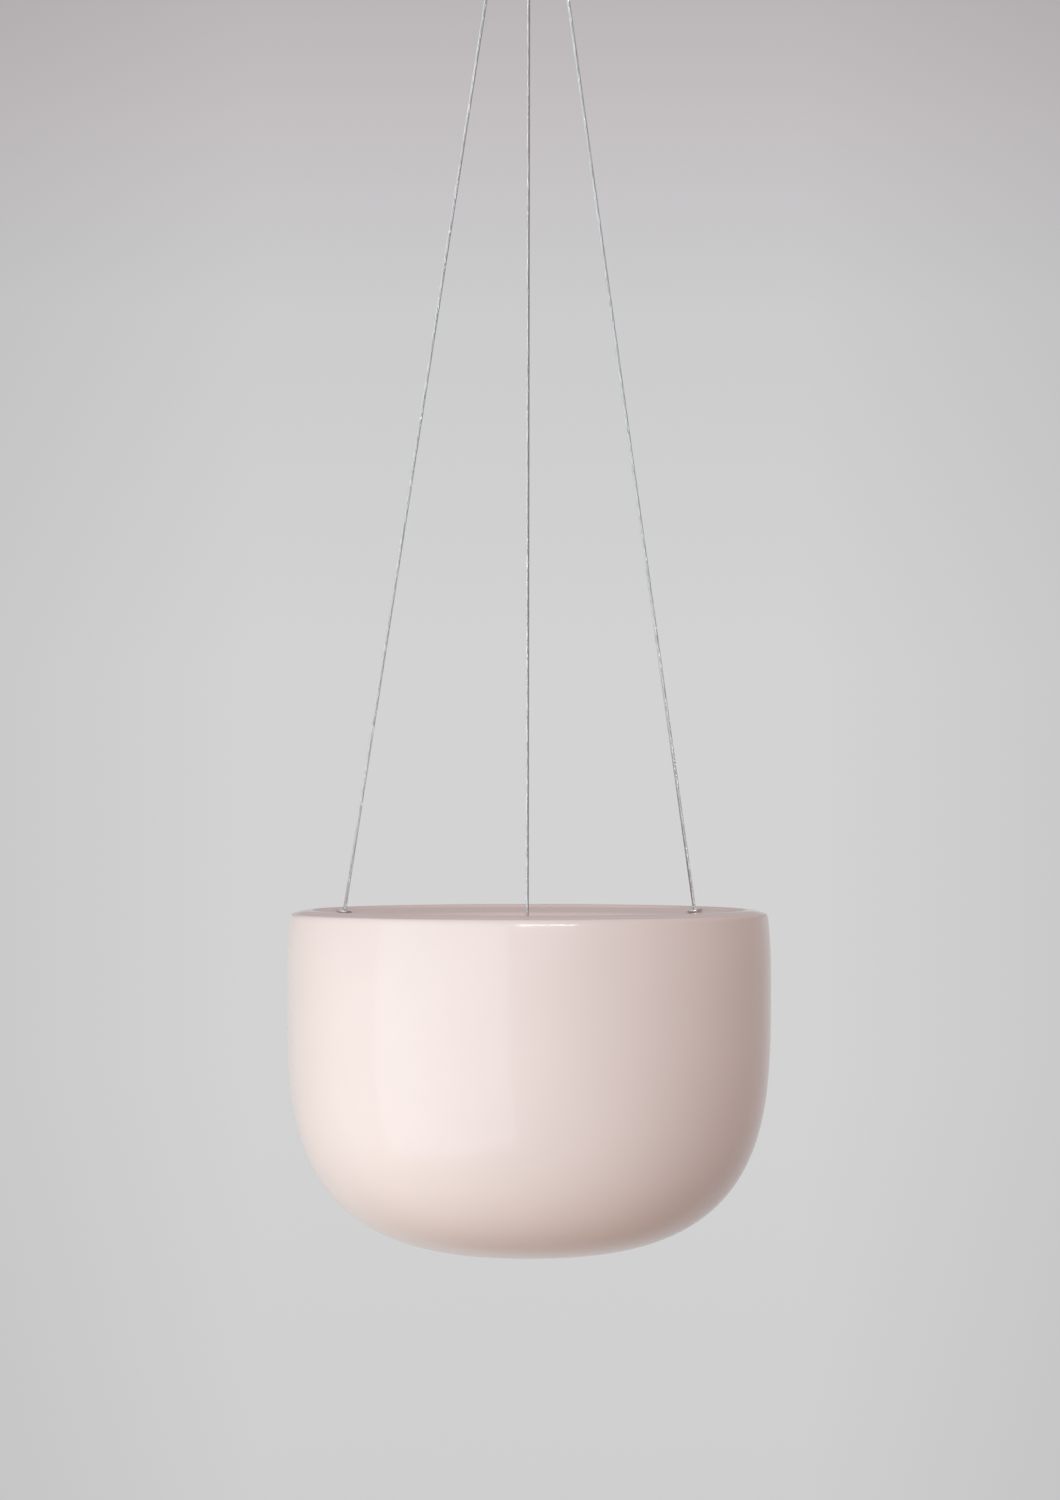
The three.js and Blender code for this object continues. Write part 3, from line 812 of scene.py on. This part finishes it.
def rope_metal(name, colour):
    """Bright strands of fine wires: lines along each strand, with a tone and gloss that vary at random."""
    material = bpy.data.materials.new(name)
    nodes = Nodes(material)
    uv = nodes("TexCoord").outputs["UV"]
    wires = nodes("Mapping", Vector=uv, Scale=(6, 9, 1), Rotation=(0, 0, math.radians(35))).outputs[0]
    lines = nodes("TexWave", Vector=wires, Scale=1.0, Distortion=0.3).outputs["Fac"]
    grime = nodes("TexNoise", Vector=nodes("TexCoord").outputs["Object"], Scale=350.0).outputs["Fac"]
    tint = nodes.ramp(grime, (0.3, shaded(colour, 0.8)), (0.7, shaded(colour, 1.0)))
    bump = nodes("Bump", Height=lines, Strength=0.3, Distance=0.00004).outputs[0]
    gloss = nodes.span(grime, 0.3, 0.7, 0.26, 0.2)
    shader = nodes("BsdfPrincipled", Base_Color=tint, Metallic=1.0, Roughness=gloss, Normal=bump)
    nodes("OutputMaterial", Surface=shader.outputs[0])
    return material


# ---------- the planter ----------

glaze = pink_glaze("pink_glaze", linear(239, 225, 220))
rope_steel = rope_metal("rope_steel", linear(248, 245, 242))
sleeve_metal = metal("sleeve_metal", linear(208, 210, 213), 0.42, 0.3, (900, 900, 300))
polished_steel = metal("polished_steel", linear(248, 244, 240), 0.21, 0.06, (900, 900, 900))
brushed_steel = metal("brushed_steel", linear(198, 198, 196), 0.36, 0.35, (150, 5000, 5000))


def dress(piece, material, slot, body, *replaced):
    """Gives a piece its material and its body, and hides the CAD nodes that it stands for. The slot is not
    used.
    """
    piece.data.materials.clear()
    piece.data.materials.append(material)
    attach(piece, body)
    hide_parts(*replaced)
    return piece


def hang_wire(name, azimuth, ring_place):
    """One wire with its sleeves, eyelet and washer."""
    matrix, length = wire_frame(azimuth, ring_place)
    foot = matrix @ Matrix.Translation((0, 0, -length))
    body = "hanging_planter"
    flat_path = wire_path(length)
    rope = wire_rope(f"rope_{name}", flat_path, matrix)
    loop = loop_sleeve(f"loop_crimp_{name}", matrix)
    stop = stop_sleeve(f"stop_crimp_{name}", foot)
    dress(rope, rope_steel, "wire_rope", body, f"wire_{name}")
    dress(loop, sleeve_metal, "sleeve_metal", body, f"loop_sleeve_{name}")
    dress(stop, sleeve_metal, "sleeve_metal", body, f"stop_sleeve_{name}")
    dress(eyelet(f"flanged_eyelet_{name}", foot), polished_steel, "polished_steel", body, f"eyelet_{name}")
    dress(washer(f"flat_washer_{name}", foot), polished_steel, "polished_steel", body, f"washer_{name}")


for wire in WIRES:
    hang_wire(*wire)
dress(planter_bowl("glazed_bowl"), glaze, "pink_glaze", "hanging_planter", "planter_bowl")
dress(hanging_ring("welded_ring"), polished_steel, "polished_steel", "ring", "hanging_ring")
dress(ceiling_hook("bent_hook"), brushed_steel, "brushed_steel", "ceiling_mount", "ceiling_hook")
dress(ceiling_plate("hook_plate"), brushed_steel, "brushed_steel", "ceiling_mount", "ceiling_plate")
for end, side, turn in SCREWS:
    dress(plate_screw(f"screw_{end}", side, turn), brushed_steel, "brushed_steel", "ceiling_mount",
          f"plate_screw_{end}")

# ---------- room and light ----------

FLOOR_HEIGHT = -2.2
GROUND_RADIUS = 3.0
FADE_START = 0.5  # how far from its middle the floor starts to fade, out to its edge
FLOOR_GLOW = (0.26, 0.125, 0.065)  # the warm light that the floor sends up under the bowl
DIM_WAY = (1.0, -0.25, 0.0)  # to the right, where no lamp stands and mirrors show less light
DIM_SIDE = 0.25
VIEW_RISE = 0.13  # the rise of a ray a little above the picture's top
VIEW_SIDES = (0.045, 0.09)  # a ray's lean half way to the picture's edge, and a little past it
VIEW_EDGE_DIM = 0.9  # of the wall at the picture's edges
BOWL_MIDDLE = Vector((0, 0, RIM_HEIGHT - BOWL_HEIGHT / 2))


def backdrop_world():
    """What the camera and mirrors see is a pale wall; what lights the object is soft and plain."""
    world = bpy.data.worlds.new("studio")
    scene.world = world
    nodes = Nodes(world)
    toward = nodes("TexCoord").outputs["Generated"]
    direction = nodes("SeparateXYZ", Vector=toward).outputs
    height, right = direction["Z"], direction["X"]
    wall = nodes.ramp(
        nodes.span(height, -VIEW_RISE, VIEW_RISE, 0, 1),
        (0.0, linear(206, 206, 207)), (0.3, linear(211, 211, 211)), (0.55, linear(211, 211, 211)),
        (0.78, linear(204, 204, 205)), (0.9, linear(196, 192, 194)), (1.0, linear(184, 178, 180)))
    sideways = nodes("Math", {"operation": "ABSOLUTE"}, i0=right).outputs[0]
    edge = nodes.span(sideways, *VIEW_SIDES, 1.0, VIEW_EDGE_DIM)
    ambient = nodes.ramp(
        nodes.span(height, -1, 1, 0, 1),
        (0.0, (0.275, 0.145, 0.08)), (0.5, (0.365, 0.27, 0.25)), (1.0, (0.39, 0.305, 0.295)))
    ray = nodes("LightPath").outputs
    mirrored = nodes("Math", HIGHEST, i0=ray["Is Glossy Ray"], i1=ray["Is Transmission Ray"]).outputs[0]
    seen = nodes("Math", HIGHEST, i0=ray["Is Camera Ray"], i1=mirrored).outputs[0]
    away = nodes("VectorMath", {"operation": "DOT_PRODUCT"}, i0=toward, i1=DIM_WAY).outputs["Value"]
    dim = nodes.span(away, 0.2, 1.0, 1.0, DIM_SIDE)
    strength = nodes("Mix", {"data_type": "FLOAT"}, i0=mirrored, i2=edge, i3=dim).outputs[0]
    shown = nodes("Background", Color=wall, Strength=strength).outputs[0]
    light = nodes("Background", Color=ambient, Strength=1.0).outputs[0]
    nodes("OutputWorld", Surface=nodes("MixShader", Fac=seen, i1=light, i2=shown).outputs[0])


def soft_light(name, azimuth, elevation, distance, size, radiance, colour, mirrored=True):
    """A softbox aimed at the bowl. Azimuth is to the right of the camera, in degrees."""
    data = bpy.data.lights.new(name, "AREA")
    data.shape = "RECTANGLE"
    data.size, data.size_y = size
    data.energy = radiance * math.pi * size[0] * size[1]
    data.color = colour
    lamp = new_object(name, data)
    turn, rise = math.radians(azimuth), math.radians(elevation)
    away = Vector((math.sin(turn) * math.cos(rise), -math.cos(turn) * math.cos(rise), math.sin(rise)))
    lamp.location = BOWL_MIDDLE + away * distance
    lamp.rotation_euler = away.to_track_quat("Z", "Y").to_euler()
    lamp.visible_camera = False
    lamp.visible_glossy = mirrored


def floor():
    """A pale floor well below the view, whose edge fades into the backdrop."""
    ground = new_object("floor", bpy.data.meshes.new("floor"))
    work = bmesh.new()
    bmesh.ops.create_circle(work, cap_ends=True, radius=GROUND_RADIUS, segments=96)
    work.to_mesh(ground.data)
    work.free()
    ground.location.z = FLOOR_HEIGHT
    material = bpy.data.materials.new("pale_floor")
    nodes = Nodes(material)
    place = nodes("TexCoord").outputs["Object"]
    away = nodes("VectorMath", {"operation": "LENGTH"}, i0=place).outputs["Value"]
    fade = nodes("MapRange", {"interpolation_type": "SMOOTHSTEP"}, Value=away, From_Min=FADE_START,
                 From_Max=GROUND_RADIUS).outputs[0]
    ray = nodes("LightPath").outputs
    seen = nodes("Math", HIGHEST, i0=ray["Is Camera Ray"], i1=ray["Is Glossy Ray"]).outputs[0]
    seen = nodes("Math", HIGHEST, i0=seen, i1=ray["Is Transmission Ray"]).outputs[0]
    tone = nodes.ramp(seen, (0.0, FLOOR_GLOW), (1.0, linear(214, 211, 208)))
    pale = nodes("BsdfDiffuse", Color=tone).outputs[0]
    clear = nodes("BsdfTransparent").outputs[0]
    nodes("OutputMaterial", Surface=nodes("MixShader", Fac=fade, i1=pale, i2=clear).outputs[0])
    ground.data.materials.append(material)


backdrop_world()
floor()
soft_light("key", -42, -9, 1.6, (2.1, 1.7), 1.1, (0.65, 0.89, 1.03))
soft_light("front", 6, 24, 2.6, (1.3, 0.9), 4.0, (0.94, 1.0, 1.0), mirrored=False)
soft_light("strip", 8, 15, 2.6, (1.3, 0.16), 17.0, (0.82, 0.92, 1.0))
soft_light("low", -54, -36, 1.5, (1.2, 1.1), 1.65, (1.0, 0.9, 0.76), mirrored=False)
soft_light("side", -100, -12, 1.8, (1.2, 1.1), 2.1, (0.88, 1.0, 1.0), mirrored=False)
